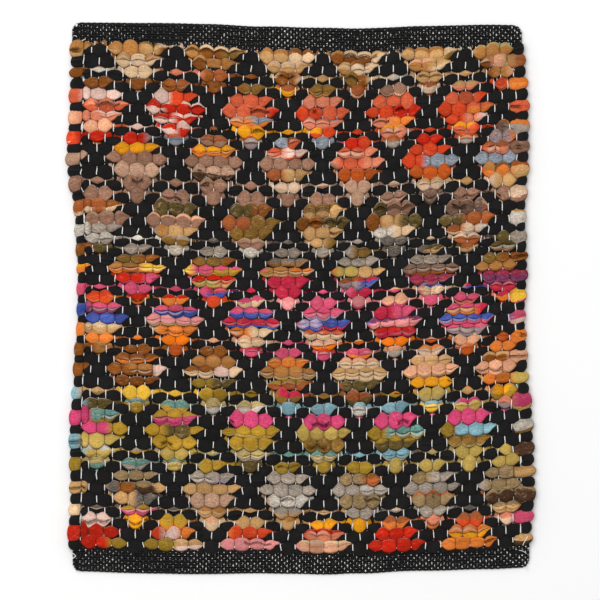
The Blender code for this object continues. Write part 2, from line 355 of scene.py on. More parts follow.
# The two rags of a row. Half widths are in shares of the row spacing, all other sizes in millimetres.
rags = {
    "dyed": {
        "halfWidth": 0.615,
        "halfDepth": 3.5,
        "lift": 1.5,  # how far above the row's line it lies on the face
        "backLift": 1.8,  # and on the back
        "spread": 0.12,  # how much the girth changes from pillow to pillow
        "pinch": 0.42,  # how wide a round pillow is where it is tied down, of its full width
        "flatPinch": 0.8,  # the same for a flat one
        "leafPinch": 0.1,  # the same where it ends in a leaf beside the other rag
        "leafCurve": 1.15,
        "squareness": 2.1,
        "reachOut": 0.12,  # how far past the tie-down it shows, in ends
        "shownAlone": (0.5, 3.0),
        "hiddenAlone": (0.6, 4.4, -0.6),
        "turnWidth": 9.9,
        "turnDepth": 6.2,
        "turnInset": 0.0,
        "turnSpread": (0.68, 1.08),  # the least and the most of that width and depth
        "pleat": 0.32,
        "pleatSwing": 0.35,
        "pleatArch": 0.4,
        "slope": 0.34,
        "sides": 18,
        "pleatCorners": (3, 6),
        "steps": (0.0, 0.045, 0.15, 0.32, 0.5, 0.68, 0.85, 0.955),
    },
    "black": {
        "halfWidth": 0.64,
        "halfDepth": 3.3,
        "lift": -1.0,
        "backLift": -2.8,
        "spread": 0.04,
        "pinch": 0.6,
        "flatPinch": 0.6,
        "leafPinch": 0.5,
        "leafCurve": 2.2,
        "squareness": 2.6,
        "reachOut": 0.1,
        "shownAlone": (0.74, -2.5),
        "hiddenAlone": (0.9, -2.2, -0.75),
        "turnWidth": 8.0,
        "turnDepth": 5.9,
        "turnInset": 1.4,
        "turnSpread": (0.92, 1.08),
        "pleat": 0.05,
        "pleatSwing": 0.5,
        "pleatArch": 0.0,
        "slope": 0.12,
        "sides": 10,
        "pleatCorners": (2, 3),
        "steps": (0.0, 0.09, 0.3, 0.5, 0.7, 0.91),
    },
}
# shownAlone is the girth and the lift of a rag that comes up for one pillow only, where the diamonds narrow.
# hiddenAlone is the girth, the lift and the layer of one that goes under for one pillow only.
# Steps are the stations of a pillow, from one tie-down end to the next.
lay = {
    "layerZ": 3.1,  # from the middle of the cloth to the middle of a rag on its face
    "pressed": 0.8,  # how much lower it lies under a tie-down end
    "pinchDepth": 0.52,  # how deep it is there, of its full depth
    "leastWidth": 0.12,  # the narrowest half width, of the row spacing
    "crossing": 0.5,  # half the length, in ends, of a rag's way through the cloth
    "narrowCrossing": 0.75,  # the same beside a pillow that stands alone
    "crossingThin": 0.12,  # how much thinner it is on that way
    "thicker": 0.2,  # a plus or a minus in the plan
    "rowGirth": 0.09,  # how much the girth of dyed rag changes from row to row
    "dipSpread": 0.3,
    "liftSpread": 0.45,
    "toneSpread": 0.12,
    "dyeStray": 0.5,  # how far, in ends, a change of dye strays
    "dyeStrayStep": 1.3,
    "thickFrom": 1.1,  # a rag thicker than this is too full for pleats
    "flatness": 0.2,
    "flatFolded": 0.4,  # how much flatter a folded stretch is
    "flatSpread": 0.8,
    "flatStep": 3.5,
    "swellCurve": 0.7,
    "steepSwell": (3, 0.6),  # how late and how steeply a rag's height falls towards its tie-downs
    "slantedSwell": (2, 0.6),
    "depthByGirth": 0.6,
    "leafRise": 0.85,
    "slantedPinch": 0.35,
    "slant": 2.2,  # how far a single black pillow slants per end where the diamonds narrow
    "early": 1.5,  # how many ends early black rag comes up, beside the leaf that the dyed rag ends in
    "earlyCrossing": 0.7,  # where on that way it crosses
    "earlyPast": (0.7, 0.2),  # how far past the tie-down end the two lie side by side
    "earlyShape": {"dyed": (1.6, 5.0), "black": (4.4, -1.6)},  # half width and lift at the tie-down
    "earlyChance": (0.7, 0.85, 0.0, 0.5, 0.7),  # by how far the row is past a crossing of the black lines
    "turnTilt": (-1.2, 2.0),  # how far a turn climbs at its outer end, left and right
    "hiddenTurn": 0.36,  # the girth of a turn that the other rag covers
    "hiddenTurnInset": 7.0,
    "turnMostDepth": 1.05,
    "turnRoot": 0.12,  # the share of a turn in which it grows out of the last pillow
    "crowding": 0.4,  # how much closer the corners of the strip stand at its edges
    "lip": 0.3,  # how far the edge of a pleat stands up, of the pleat's depth
    "lipLean": 0.12,
    "swingReach": 3.0,  # how many corners beside a pleat sway along with it
    "backFrom": 0.75,  # from where round the strip its back takes the dye of the upper edge
    "pleatedFolds": 1.1,
    "pleatedElsewhere": -0.4,
    "pleatSpread": 0.5,
    "pleatStep": 4.0,
    "slopeSpread": 0.4,
    "slopeStep": 8.0,
    "middleDye": (0.8, 1.25),  # how much darker or lighter the dye between the two edges is
    "marl": (1.15, 2.2, 0.35),  # all of it in grey dyes, less in strong ones, and the least
}
# The outline of a turn from its root to its outer end: share of the way, width, depth.
turnOutline = [(0.0, 0.55, 0.6), (0.14, 0.86, 0.9), (0.42, 1.0, 1.0), (0.68, 0.93, 0.94), (0.86, 0.71, 0.74),
               (0.96, 0.43, 0.46), (1.0, 0.14, 0.16)]


def isNarrow(row):
    # the rows where the diamonds narrow, and single pillows change places
    return row % cloth["rowsPerBand"] in (2, 3)


def facePillows(row):
    # the pillows of a row's face from side to side: from end, to end, whether dyed rag shows
    edges = [end for end in range(firstEnd, lastEnd + 1) if (end - row) % 2 == 0]
    if edges[0] != firstEnd:
        edges = [firstEnd] + edges
    pillows = [(start, stop, isDyed(row, stop - 1)) for start, stop in zip(edges, edges[1:])]
    leftTurn = (firstEnd - 2, firstEnd, row % 2 == 0)
    rightTurn = (edges[-1], lastEnd + 2, row % 2 == 1)
    return [leftTurn] + pillows + [rightTurn]


def stationPlaces(pillows, steps):
    places = []
    for index, (start, stop, _) in enumerate(pillows):
        shares = steps
        if index == 0:
            shares = [0.0] + [1 - line[0] for line in turnOutline[-2:0:-1]]
        elif index == len(pillows) - 1:
            shares = [line[0] for line in turnOutline[:-1]]
        places += [start + (stop - start) * share for share in shares]
    return np.array(places + [pillows[-1][1]])


def earlyRises(row, pillows):
    # the pillows of black rag that come up before their tie-down end
    luck = np.random.default_rng(7000 + row)
    phase = row % cloth["rowsPerBand"]
    found = set()
    for index in range(2, len(pillows) - 1):
        draw = luck.uniform()
        comesUp = pillows[index - 2][2] and pillows[index - 1][2] and not pillows[index][2]
        if comesUp and draw < lay["earlyChance"][phase]:
            found.add(index)
    return found


def layersAlong(row, kind, pillows, places, shows, alone, luck):
    # which face a rag is on, from 1 on top to -1 below; it goes down a little past the tie-down end, and
    # where black rag comes up it often does so early, low beside the leaf that the dyed rag ends in
    rag = rags[kind]
    early = earlyRises(row, pillows)
    pastFrom, pastTo = lay["earlyPast"]
    narrow = isNarrow(row)
    dips = np.clip(rag["hiddenAlone"][2] + lay["dipSpread"] * luck.normal(size=len(pillows)), -1.0, -0.1)
    layers = np.array([1.0 if shown else dip if single and narrow else -1.0
                       for shown, single, dip in zip(shows, alone, dips)])
    side = np.full(len(places), layers[0])
    beside = np.zeros(len(places))
    for index in range(1, len(pillows)):
        start, before, after = pillows[index][0], layers[index - 1], layers[index]
        crossing = start + rag["reachOut"] * np.sign(before - after)
        if index in early:
            nearing = np.clip(1 - (start - places) / lay["early"], 0, 1)
            beside += nearing * smooth(start + pastFrom, start + pastTo, places)
            if kind == "black":
                crossing = start - lay["earlyCrossing"] * lay["early"]
        nextToSingle = narrow and (alone[index] or alone[index - 1])
        length = lay["narrowCrossing"] if nextToSingle else lay["crossing"]
        side += (after - before) * smooth(crossing - length, crossing + length, places)
    return side, beside


def pillowsAlong(row, kind, pillows, places, shows, alone, luck):
    # how far each station is from its pillow's middle, whether it is in a leaf, and the pillow's own
    # differences in girth, lift and tone
    rag = rags[kind]
    phase = row % cloth["rowsPerBand"]
    narrow = isNarrow(row)
    last = len(pillows) - 1
    away = np.zeros(len(places))
    leaf = np.zeros(len(places))
    girth = np.ones(len(places))
    offset = np.zeros(len(places))
    tone = np.ones(len(places))
    for index, (start, stop, _) in enumerate(pillows):
        inside = (places >= start) & (places <= stop)
        middle = (start + stop) / 2
        fromMiddle = np.abs(2 * (places[inside] - start) / (stop - start) - 1)
        away[inside] = np.maximum(away[inside], fromMiddle)
        if shows[index] and not (alone[index] and kind == "dyed" and phase == 3):
            leftHalf = inside & (places < middle)
            if not shows[max(index - 1, 0)]:
                leaf[leftHalf] = 1.0
            if not shows[min(index + 1, last)]:
                leaf[inside & ~leftHalf] = 1.0
        scale, raised = 1.0, 0.0
        if alone[index] and shows[index] and (kind == "black" and narrow or kind == "dyed" and phase == 2):
            scale, raised = rag["shownAlone"][0], rag["shownAlone"][1] - rag["lift"]
        if alone[index] and not shows[index] and narrow:
            scale, raised = rag["hiddenAlone"][0], rag["hiddenAlone"][1] - rag["backLift"]
        girth[inside] = scale * (1 + rag["spread"] * luck.normal())
        tone[inside] = 1 + lay["toneSpread"] * luck.normal()
        offset[inside] = lay["liftSpread"] * luck.normal() + raised
        if kind == "black" and shows[index] and alone[index] and narrow:
            fromDiamond = middle % cloth["endsPerDiamond"] - cloth["endsPerDiamond"] // 2
            fromLine = cloth["rowsPerBand"] - row % (2 * cloth["rowsPerBand"])
            offset[inside] -= lay["slant"] * np.sign(fromDiamond * fromLine) * (places[inside] - middle)
    return away, leaf, blurred(girth, 2), blurred(offset, 3), blurred(tone, 1)


def turnBack(row, kind, pillows, places, shows, thickness, luck, x, z, width, depth, lift):
    # bends both outer ends of a rag into its turns
    rag = rags[kind]
    shares, widths, depths = np.array(turnOutline).T
    for sign, outermost, turnShows in ((-1, firstEnd, shows[0]), (1, pillows[-1][0], shows[-1])):
        far = sign * (lastEnd + 2 - outermost if sign > 0 else 2)
        share = (places - outermost) / far
        turn = share > 0
        share = share[turn]
        root = endX(outermost, row)
        rim = sideX(sign, row) - sign * (rag["turnInset"] if turnShows else lay["hiddenTurnInset"])
        x[turn] = root + (rim - root) * share
        scale = (1.0 if turnShows else lay["hiddenTurn"]) * (thickness[turn] if kind == "dyed" else 1.0)
        scale = scale * luck.uniform(*rag["turnSpread"])
        blend = smooth(0.0, lay["turnRoot"], share)
        width[turn] += (rag["turnWidth"] * scale * np.interp(share, shares, widths) - width[turn]) * blend
        turnDepth = rag["turnDepth"] * np.minimum(scale, lay["turnMostDepth"])
        turnDepth = turnDepth * np.interp(share, shares, depths)
        depth[turn] += (turnDepth - depth[turn]) * blend
        z[turn] += (middleZ - z[turn]) * blend
        lift[turn] += (lay["turnTilt"][0 if sign < 0 else 1] * share - lift[turn]) * blend


def layRag(row, kind):
    # the path, girth, pleats and dyes of one rag along its row
    rag = rags[kind]
    luck = np.random.default_rng(1000 * (kind == "dyed") + row)
    pillows = facePillows(row)
    last = len(pillows) - 1
    shows = [dyed == (kind == "dyed") for _, _, dyed in pillows]
    alone = [
        0 < n < last and pillows[n - 1][2] == pillows[n + 1][2] != pillows[n][2]
        for n in range(last + 1)
    ]
    places = stationPlaces(pillows, rag["steps"])
    spacing = (spacings[max(row - 1, 0)] + spacings[min(row, lastRow - 1)]) / 2
    side, beside = layersAlong(row, kind, pillows, places, shows, alone, luck)
    onFace = np.clip(side, 0, 1)

    # the stretches of dye, where two dyes in one stretch show that the strip is folded
    starts, uppers, lowers, girths = readStretches(row)
    strayed = places + lay["dyeStray"] * slowNoise(places + 40, lay["dyeStrayStep"], 3000 + row)
    stretch = np.searchsorted(starts, strayed, side="right") - 1
    thickness = 1.0
    if kind == "dyed":
        thickness = blurred(girths[stretch], 4) * (1 + lay["rowGirth"] * luck.normal())
    folded = blurred(1.0 * (np.abs(uppers - lowers).sum(axis=1) > 0.05)[stretch], 2)
    folded = folded - blurred(1.4 * (thickness > lay["thickFrom"]) * np.ones(len(places)), 2)

    # the swell of each pillow between its two tie-downs, on the face and on the back
    away, leaf, girth, offset, tone = pillowsAlong(row, kind, pillows, places, shows, alone, luck)
    across = np.minimum(np.where(side > 0, away, np.abs((places - row - 1) % 2 - 1)), 1)
    flatter = lay["flatSpread"] * slowNoise(places + 40, lay["flatStep"], 4000 + row)
    flatness = np.clip(lay["flatness"] + lay["flatFolded"] * folded + flatter, 0, 1)
    pinch = rag["pinch"] + (rag["flatPinch"] - rag["pinch"]) * flatness
    swell = pinch + (1 - pinch) * (1 - across ** rag["squareness"]) ** lay["swellCurve"]
    leafRise = (1 - across ** rag["leafCurve"]) ** lay["leafRise"]
    leafSwell = rag["leafPinch"] + (1 - rag["leafPinch"]) * leafRise
    swell = swell + (leafSwell - swell) * leaf
    if kind == "black" and isNarrow(row):
        power, root = lay["slantedSwell"]
        swell = lay["slantedPinch"] + (1 - lay["slantedPinch"]) * (1 - across ** power) ** root
    power, root = lay["steepSwell"]
    steepSwell = (1 - across ** power) ** root

    width = rag["halfWidth"] * spacing * girth * thickness * swell
    width = np.maximum(width, lay["leastWidth"] * spacing)
    depth = rag["halfDepth"] * (girth * thickness) ** lay["depthByGirth"]
    depth = depth * (lay["pinchDepth"] + (1 - lay["pinchDepth"]) * steepSwell)
    depth = depth * (1 - lay["crossingThin"] * np.maximum(1 - side ** 2, 0))
    z = middleZ + side * (lay["layerZ"] - lay["pressed"] * (1 - steepSwell))
    lift = rag["lift"] + (rag["backLift"] - rag["lift"]) * (1 - side) / 2 + offset
    width += (lay["earlyShape"][kind][0] - width) * beside
    lift += (lay["earlyShape"][kind][1] - lift) * beside
    x = endX(np.clip(places, firstEnd, lastEnd), row)
    turnBack(row, kind, pillows, places, shows, thickness, luck, x, z, width, depth, lift)

    # the pleats of the strip, and how it slopes across the row
    seed = 5000 + 10 * row + (kind == "dyed")
    noises = [slowNoise(places + 40, lay["pleatStep"], seed + 1000 * n) for n in range(4)]
    inField = smooth(firstEnd - 0.5, firstEnd + 0.5, places) * smooth(lastEnd + 0.5, lastEnd - 0.5, places)
    pleated = lay["pleatedFolds"] * folded + lay["pleatedElsewhere"]
    pleats = [
        rag["pleat"] * np.clip(pleated + lay["pleatSpread"] * noise, 0, 1) * inField
        for noise in noises[:2]
    ]
    rowSlope = np.random.default_rng(6000 + row).uniform(-1, 1)
    arch = rag["pleatArch"] * np.sign(rowSlope) * (1 - across ** 2) * onFace * inField
    slope = rowSlope + lay["slopeSpread"] * slowNoise(places + 40, lay["slopeStep"], seed + 4000)
    path = {
        "x": x,
        "y": rowY(row, x) + lift,
        "z": z,
        "halfWidth": width,
        "halfDepth": depth,
        "pleatA": pleats[0],
        "pleatB": pleats[1],
        "swingA": rag["pleatSwing"] * noises[2] - arch,
        "swingB": rag["pleatSwing"] * noises[3] - arch,
        "slope": rag["slope"] * slope * inField * onFace,
        "places": places,
        "row": np.full(len(places), float(row)),
        "pressedDown": 1 - steepSwell,
        "tone": tone,
    }
    if kind == "dyed":
        middles = np.where(luck.uniform(size=(len(starts), 1)) < 0.5, uppers, lowers)
        middles = middles * luck.uniform(*lay["middleDye"], (len(starts), 1))
        average = (uppers + lowers) / 2
        strength = np.max(average, axis=1) - np.min(average, axis=1)
        most, lost, least = lay["marl"]
        path["marl"] = np.clip(most - lost * strength, least, 1)[stretch]  # greyer dyes show more of the yarn
        path["dyeUpper"] = blurred(uppers[stretch], 1)
        path["dyeMiddle"] = blurred(middles[stretch], 1)
        path["dyeLower"] = blurred(lowers[stretch], 1)
    return path


paths = {kind: [layRag(row, kind) for row in range(lastRow + 1)] for kind in rags}
print("rags laid:", sum(len(path["x"]) for rows in paths.values() for path in rows), "stations")


def put(tree, kind, sockets=None, **settings):
    # one node with its settings, its values and the links into it
    node = tree.nodes.new(kind)
    for name, value in settings.items():
        setattr(node, name, value)
    for name, value in (sockets or {}).items():
        if isinstance(value, bpy.types.NodeSocket):
            tree.links.new(value, node.inputs[name])
        else:
            node.inputs[name].default_value = value
    return node


def maths(tree, operation, a, b=0.0, c=0.0):
    return put(tree, "ShaderNodeMath", {0: a, 1: b, 2: c}, operation=operation).outputs[0]


def namedTree(name, inputs):
    tree = bpy.data.node_groups.new(name, "GeometryNodeTree")
    tree.is_modifier = True
    tree.interface.new_socket("Geometry", in_out="INPUT", socket_type="NodeSocketGeometry")
    for label, kind in inputs:
        tree.interface.new_socket(label, in_out="INPUT", socket_type="NodeSocket" + kind)
    tree.interface.new_socket("Geometry", in_out="OUTPUT", socket_type="NodeSocketGeometry")
    return tree


def carried(tree, name, kind="FLOAT"):
    return put(tree, "GeometryNodeInputNamedAttribute", {"Name": name}, data_type=kind).outputs["Attribute"]


def stored(tree, geometry, name, value, kind="FLOAT"):
    node = put(tree, "GeometryNodeStoreNamedAttribute", {"Geometry": geometry, "Name": name, "Value": value},
               data_type=kind, domain="POINT")
    return node.outputs["Geometry"]


def roundProfile(tree, sides, radius):
    # a circle whose points know how far round they are, in radians
    circle = put(tree, "GeometryNodeCurvePrimitiveCircle", {"Resolution": sides, "Radius": radius})
    index = put(tree, "GeometryNodeInputIndex").outputs[0]
    turn = maths(tree, "MULTIPLY", maths(tree, "DIVIDE", index, sides), math.tau)
    return stored(tree, circle.outputs["Curve"], "turn", turn)


def finishTree(tree, mesh, material, dropped):
    for name in dropped:
        mesh = put(tree, "GeometryNodeRemoveAttribute", {"Geometry": mesh, "Name": name}).outputs["Geometry"]
    mesh = put(tree, "GeometryNodeSetShadeSmooth", {"Geometry": mesh}).outputs["Geometry"]
    mesh = put(tree, "GeometryNodeRealizeInstances", {"Geometry": mesh}).outputs["Geometry"]
    mesh = put(tree, "GeometryNodeSetMaterial", {"Geometry": mesh, "Material": material}).outputs["Geometry"]
    put(tree, "NodeGroupOutput", {"Geometry": mesh})


def hat(tree, index, at, reach):
    # 1 at one point of the profile, fading to 0 over its neighbours
    away = maths(tree, "ABSOLUTE", maths(tree, "SUBTRACT", index, at))
    return maths(tree, "MAXIMUM", maths(tree, "SUBTRACT", 1.0, maths(tree, "DIVIDE", away, reach)))


def ragTree():
    # sweeps a rag along its path, wide and deep as the path says, with two pleats along it
    tree = namedTree("sweepRags", [("Sides", "Int"), ("Upper Pleat", "Int"), ("Lower Pleat", "Int"),
                                   ("Crowding", "Float"), ("Lip", "Float"), ("Cloth", "Material")])
    given = put(tree, "NodeGroupInput").outputs
    line = put(tree, "GeometryNodeMeshToCurve", {"Mesh": given["Geometry"]}).outputs["Curve"]
    place = put(tree, "GeometryNodeInputPosition").outputs[0]
    line = stored(tree, line, "middle", place, "FLOAT_VECTOR")
    circle = put(tree, "GeometryNodeCurvePrimitiveCircle", {"Resolution": given["Sides"], "Radius": 1.0})
    index = put(tree, "GeometryNodeInputIndex").outputs[0]
    profile = stored(tree, circle.outputs["Curve"], "corner", index)
    tube = put(tree, "GeometryNodeCurveToMesh",
               {"Curve": line, "Profile Curve": profile, "Fill Caps": True}).outputs["Mesh"]
    corner = carried(tree, "corner")
    even = maths(tree, "MULTIPLY", maths(tree, "DIVIDE", corner, given["Sides"]), math.tau)
    turn = maths(tree, "ADD", even, maths(tree, "MULTIPLY", maths(tree, "COSINE", even), given["Crowding"]))
    reach = 1.0
    crease = 0.0
    raised = 0.0
    band = 0.0
    for pleat, letter, way in (("Upper Pleat", "A", 1.0), ("Lower Pleat", "B", -1.0)):
        at = given[pleat]
        depth, swing = "pleat" + letter, "swing" + letter
        lip = maths(tree, "ADD", at, way)
        groove = maths(tree, "MULTIPLY", hat(tree, corner, at, 1.0), carried(tree, depth))
        edge = maths(tree, "MULTIPLY", hat(tree, corner, lip, 1.0), given["Lip"])
        edge = maths(tree, "MULTIPLY", edge, carried(tree, depth))
        raised = maths(tree, "ADD", edge, raised)
        reach = maths(tree, "SUBTRACT", maths(tree, "ADD", edge, reach), groove)
        crease = maths(tree, "ADD", groove, crease)
        sway = maths(tree, "MULTIPLY", hat(tree, corner, at, lay["swingReach"]), carried(tree, swing))
        lean = maths(tree, "MULTIPLY", hat(tree, corner, lip, 1.0), -lay["lipLean"] * way)
        turn = maths(tree, "ADD", turn, maths(tree, "ADD", sway, lean))
        past = maths(tree, "ADD", maths(tree, "SUBTRACT", corner, at), 0.5)
        past = put(tree, "ShaderNodeClamp", {"Value": past}).outputs[0]
        band = maths(tree, "MULTIPLY_ADD", past, 0.5, c=band)
    across = maths(tree, "COSINE", turn)
    upward = maths(tree, "SINE", turn)
    sideways = maths(tree, "MULTIPLY", maths(tree, "MULTIPLY", across, carried(tree, "halfWidth")), reach)
    outwards = maths(tree, "MULTIPLY", maths(tree, "MULTIPLY", upward, carried(tree, "halfDepth")), reach)
    outwards = maths(tree, "MULTIPLY_ADD", sideways, carried(tree, "slope"), outwards)
    offset = put(tree, "ShaderNodeCombineXYZ", {"Y": sideways, "Z": outwards}).outputs[0]
    middle = carried(tree, "middle", "FLOAT_VECTOR")
    spot = put(tree, "ShaderNodeVectorMath", {0: middle, 1: offset}, operation="ADD").outputs[0]
    aboveFloor = {0: spot, 1: (-9.0, -9.0, 0.2 * mm)}
    spot = put(tree, "ShaderNodeVectorMath", aboveFloor, operation="MAXIMUM").outputs[0]
    back = maths(tree, "GREATER_THAN", corner, maths(tree, "MULTIPLY", given["Sides"], lay["backFrom"]))
    band = maths(tree, "MULTIPLY", band, maths(tree, "SUBTRACT", 1.0, back))
    kept = {"turn": turn, "side": across, "crease": crease, "lip": raised, "band": band}
    for label, value in kept.items():
        tube = stored(tree, tube, label, value)
    tube = put(tree, "GeometryNodeSetPosition", {"Geometry": tube, "Position": spot}).outputs["Geometry"]
    used = ("middle", "corner", "halfWidth", "halfDepth", "slope", "pleatA", "pleatB", "swingA", "swingB")
    finishTree(tree, tube, given["Cloth"], used)
    return tree


def threadTree():
    # sweeps a round thread along its path
    tree = namedTree("spinThreads", [("Sides", "Int"), ("Radius", "Float"), ("Cloth", "Material")])
    given = put(tree, "NodeGroupInput").outputs
    line = put(tree, "GeometryNodeMeshToCurve", {"Mesh": given["Geometry"]}).outputs["Curve"]
    length = put(tree, "GeometryNodeSplineParameter").outputs["Length"]
    line = stored(tree, line, "along", length)
    profile = roundProfile(tree, given["Sides"], given["Radius"])
    tube = put(tree, "GeometryNodeCurveToMesh",
               {"Curve": line, "Profile Curve": profile, "Fill Caps": True}).outputs["Mesh"]
    finishTree(tree, tube, given["Cloth"], ())
    return tree


def pathMesh(name, lines):
    # many open lines as one wire mesh; a line is a dict of arrays with x, y and z in millimetres
    mesh = bpy.data.meshes.new(name)
    counts = [len(line["x"]) for line in lines]
    total = sum(counts)
    mesh.vertices.add(total)
    points = np.concatenate([np.stack([line["x"], line["y"], line["z"]], axis=1) for line in lines]) * mm
    mesh.vertices.foreach_set("co", points.astype(np.float32).ravel())
    first = np.arange(total)
    ends = np.cumsum(counts) - 1
    first = np.delete(first, ends)
    mesh.edges.add(len(first))
    mesh.edges.foreach_set("vertices", np.stack([first, first + 1], axis=1).ravel())
    for key in lines[0]:
        if key in ("x", "y", "z", "places"):
            continue
        values = np.concatenate([line[key] for line in lines])
        if values.ndim == 2:
            attribute = mesh.attributes.new(key, "FLOAT_COLOR", "POINT")
            values = np.concatenate([values, np.ones((total, 1))], axis=1)
            attribute.data.foreach_set("color", values.astype(np.float32).ravel())
        else:
            attribute = mesh.attributes.new(key, "FLOAT", "POINT")
            scale = mm if key.startswith("half") else 1.0
            attribute.data.foreach_set("value", (values * scale).astype(np.float32))
    return mesh


def sweep(name, lines, tree, **inputs):
    # runs a tree over the lines and keeps its result as a plain mesh
    holder = bpy.data.objects.new(name + "Path", pathMesh(name + "Path", lines))
    bpy.context.scene.collection.objects.link(holder)
    modifier = holder.modifiers.new(tree.name, "NODES")
    modifier.node_group = tree
    for item in tree.interface.items_tree:
        if item.in_out == "INPUT" and item.name in inputs:
            modifier[item.identifier] = inputs[item.name]
    settled = holder.evaluated_get(bpy.context.evaluated_depsgraph_get())
    mesh = bpy.data.meshes.new_from_object(settled)
    pathData = holder.data
    bpy.data.objects.remove(holder)
    bpy.data.meshes.remove(pathData)
    mesh.name = name
    if enclosed(mesh) < 0:
        mesh.flip_normals()
    piece = bpy.data.objects.new(name, mesh)
    bpy.context.scene.collection.objects.link(piece)
    mesh.calc_loop_triangles()
    print(name, len(mesh.loop_triangles), "triangles")
    return piece


def enclosed(mesh):
    # the volume that the faces close in, below zero where they point inwards
    mesh.calc_loop_triangles()
    points = np.empty(len(mesh.vertices) * 3, np.float32)
    mesh.vertices.foreach_get("co", points)
    corners = np.empty(len(mesh.loop_triangles) * 3, np.int32)
    mesh.loop_triangles.foreach_get("vertices", corners)
    a, b, c = points.reshape(-1, 3)[corners].reshape(-1, 3, 3).transpose(1, 0, 2).astype(float)
    return float(np.einsum("ij,ij->i", a, np.cross(b, c)).sum() / 6)


def shaderGroup(name, inputs, outputs):
    group = bpy.data.node_groups.new(name, "ShaderNodeTree")
    for label, kind, value in inputs:
        socket = group.interface.new_socket(label, in_out="INPUT", socket_type="NodeSocket" + kind)
        if value is not None:
            socket.default_value = value
    for label, kind in outputs:
        group.interface.new_socket(label, in_out="OUTPUT", socket_type="NodeSocket" + kind)
    return group


# The knit of both strips: how fine it is per metre, how uneven, and how dark its gaps and how light its
# stitches are, as painted shade in the gaps and a painted highlight on the stitches, mixed with the fuzz of
# the yarn.
knitting = {
    "stitches": 750.0,
    "fuzz": 0.35,
    "fuzzScale": 2600.0,
    "bendScale": 160.0,
    "bend": 0.004,
    "shade": (0.62, 1.12),
}


def knitGroup():
    # the stitches of knit strip: a height for the bump and a shade for the colour, which is painted shade in
    # the gaps and painted highlight on the stitches, with the fuzz of the yarn
    group = shaderGroup(
        "knitStrip",
        [("Stitches", "Float", knitting["stitches"]), ("Fuzz", "Float", knitting["fuzz"])],
        [("Height", "Float"), ("Shade", "Float")],
    )
    given = put(group, "NodeGroupInput").outputs
    place = put(group, "ShaderNodeTexCoord").outputs["Object"]
    bend = {"Vector": place, "Scale": knitting["bendScale"], "Detail": 1.0}
    bent = put(group, "ShaderNodeTexNoise", bend).outputs["Color"]
    shift = {0: bent, 1: (knitting["bend"],) * 3, 2: place}
    shifted = put(group, "ShaderNodeVectorMath", shift, operation="MULTIPLY_ADD").outputs[0]
    cells = {"Vector": shifted, "Scale": given["Stitches"]}
    stitches = put(group, "ShaderNodeTexVoronoi", cells, feature="SMOOTH_F1").outputs["Distance"]
    fuzz = {"Vector": place, "Scale": knitting["fuzzScale"], "Detail": 2.0}
    fuzz = put(group, "ShaderNodeTexNoise", fuzz).outputs[0]
    height = maths(group, "SUBTRACT", 1.0, stitches)
    height = maths(group, "MULTIPLY_ADD", fuzz, given["Fuzz"], height)
    darkest, lightest = knitting["shade"]
    shade = put(group, "ShaderNodeMapRange", {"Value": height, "From Min": 0.3, "From Max": 1.2,
                                              "To Min": darkest, "To Max": lightest}).outputs[0]
    put(group, "NodeGroupOutput", {"Height": height, "Shade": shade})
    return group


def newMaterial(name, roughness, specular, sheen):
    material = bpy.data.materials.new(name)
    material.use_nodes = True
    shader = material.node_tree.nodes["Principled BSDF"]
    shader.inputs["Roughness"].default_value = roughness
    shader.inputs["Specular IOR Level"].default_value = specular
    shader.inputs["Sheen Weight"].default_value = sheen
    return material, material.node_tree, shader


def mixed(tree, factor, a, b):
    node = put(tree, "ShaderNodeMix", {"Factor": factor}, data_type="RGBA")
    for socket, value in ((node.inputs[6], a), (node.inputs[7], b)):
        if isinstance(value, bpy.types.NodeSocket):
            tree.links.new(value, socket)
        else:
            socket.default_value = value
    return node.outputs[2]


def ranged(tree, value, low, high, most=1.0, least=0.0):
    # eases from least to most as the value goes from low to high
    node = put(tree, "ShaderNodeMapRange", {"Value": value, "From Min": low, "From Max": high,
                                            "To Min": least, "To Max": most}, interpolation_type="SMOOTHSTEP")
    return node.outputs[0]


def scaled(tree, colour, factor):
    return put(tree, "ShaderNodeVectorMath", {0: colour, "Scale": factor}, operation="SCALE").outputs[0]


def painted(tree, name, output="Fac"):
    # what the mesh carries at each point
    return put(tree, "ShaderNodeAttribute", attribute_name=name).outputs[output]


def bumped(tree, shader, height, deep, strength):
    # the fine relief of a surface, deep in millimetres
    relief = {"Height": height, "Distance": deep * mm, "Strength": strength}
    normal = put(tree, "ShaderNodeBump", relief).outputs[0]
    tree.links.new(normal, shader.inputs["Normal"])


# Ranges are where an effect starts and where it is full, and then how strong it is.
dyeing = {
    "raggedScale": 420.0,
    "ragged": 0.24,  # how far the edge of a dye wavers, of the strip's width
    "streaks": ((150.0, 2.4), (330.0, 7.0)),  # streaks per metre along the strip, and round it
    "rowStep": 3.7,  # keeps the streaks of two rows apart
    "running": 1.3,  # how far the dyes run into each other along the broad streaks
    "upperDye": (0.16, 0.34),  # where the upper dye gives way to the middle one
    "lowerDye": (0.66, 0.84),
    "palerStreak": (0.54, 0.7, 0.45),
    "palerYarn": (0.66, 0.46, 0.3, 1.0),
    "deeperStreak": (0.48, 0.3, 0.62),
    "deeper": 0.35,
    "marl": 3.2,
    "leastMarl": 0.25,
    "rim": (0.84, 0.95, 0.6),  # the raw upper edge
    "rimYarn": (0.76, 0.58, 0.44, 1.0),
    # the lip is painted paler: partly the raw edge of the strip, partly a painted highlight on the raised
    # edge
    "lip": (0.066, 0.092, 0.4),  # the raised edge of a pleat
    "lipYarnAndHighlight": (0.8, 0.64, 0.5, 1.0),
    # painted shade in the pleat creases
    "crease": (0.1, 0.26, 0.3, 1.0),
    # painted shade on the lower side of the strip, in the crevice towards the next row
    "undersideShade": (-0.7, -0.95, 0.35, 1.0),
    # painted shade where the strip is tied down between pillows, and a touch of painted light on the crowns
    "tiedDownShade": (0.55, 1.0, 0.32, 1.06),
    "stitches": 800.0,
    "relief": (0.4, 0.7),  # depth in millimetres, strength
}


